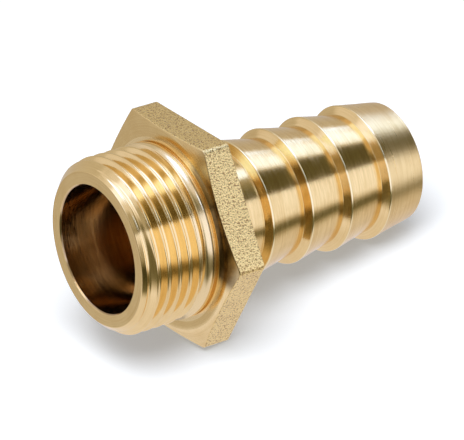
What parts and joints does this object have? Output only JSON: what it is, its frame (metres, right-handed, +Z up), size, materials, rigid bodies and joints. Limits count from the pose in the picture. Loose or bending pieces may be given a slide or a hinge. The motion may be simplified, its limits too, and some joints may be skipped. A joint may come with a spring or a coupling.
{
  "type": "hose tail",
  "caption": "Hose tail: a brass pipe fitting with a male pipe thread, a spanner hexagon and a barbed spigot that holds a push-on hose, bored right through.",
  "frame": {"origin": "on the table, below the middle of the fitting's length and width, as it lies at rest on the hexagon's back edge and the spigot", "axes": "+Z up from the table; +X along the fitting, seen from above, from its threaded end to its hose end; the fitting's own axis dips towards +X by the rest angle"},
  "size_m": [0.0552, 0.0362, 0.0319],
  "materials": {
    "brass": "turned and bright, with the hexagon's flats left grainy"
  },
  "bodies": {
    "root": {"hose_tail": "brass"}
  },
  "joints": []
}
